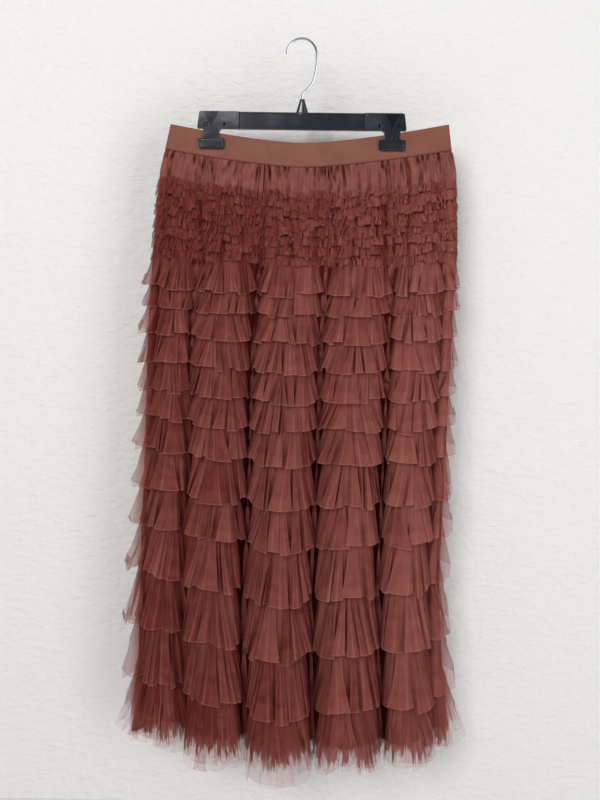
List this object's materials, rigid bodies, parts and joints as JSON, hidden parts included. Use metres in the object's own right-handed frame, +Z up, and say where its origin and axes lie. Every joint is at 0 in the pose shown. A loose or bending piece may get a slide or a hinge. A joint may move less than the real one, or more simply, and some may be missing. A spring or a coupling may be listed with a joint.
{
  "type": "tiered ruffle skirt on clip hanger",
  "caption": "Long gathered net skirt with an elastic waistband and rows of ruffles that grow wider towards the hem, pinned by its band to a clip hanger with a wire hook.",
  "frame": {"origin": "inside top of the hanger's hook, where the peg carries the skirt", "axes": "+Z up, +X to the right of someone who faces the skirt, -Y the skirt's front"},
  "size_m": [0.5593, 0.1738, 1.1159],
  "materials": {
    "elastic_webbing": "fine ribbed elastic webbing, matt with a faint sheen",
    "base_cloth": "gathered opaque net over thin cloth, matt",
    "gathered_net": "soft sheer net in gathered ruffles, matt with a faint sheen on the folds",
    "black_plastic": "glossy moulded plastic",
    "spring_steel": "plain spring steel",
    "bright_wire": "bright plated wire"
  },
  "bodies": {
    "root": {"waistband": "elastic_webbing", "base_front": "base_cloth", "base_back": "base_cloth", "yoke_ruffle_01": "gathered_net", "yoke_ruffle_02": "gathered_net", "yoke_ruffle_03": "gathered_net", "yoke_ruffle_04": "gathered_net", "yoke_ruffle_05": "gathered_net", "yoke_ruffle_06": "gathered_net", "yoke_ruffle_07": "gathered_net", "yoke_ruffle_08": "gathered_net", "tier_01": "gathered_net", "tier_02": "gathered_net", "tier_03": "gathered_net", "tier_04": "gathered_net", "tier_05": "gathered_net", "tier_06": "gathered_net", "tier_07": "gathered_net", "tier_08": "gathered_net", "tier_09": "gathered_net", "tier_10": "gathered_net", "tier_11": "gathered_net", "tier_12": "gathered_net", "tier_13": "gathered_net", "hanger_bar": "black_plastic", "clip_lever_left": "black_plastic", "clip_lever_right": "black_plastic", "clip_spring_left": "spring_steel", "clip_spring_right": "spring_steel", "hanger_hook": "bright_wire"}
  },
  "joints": []
}
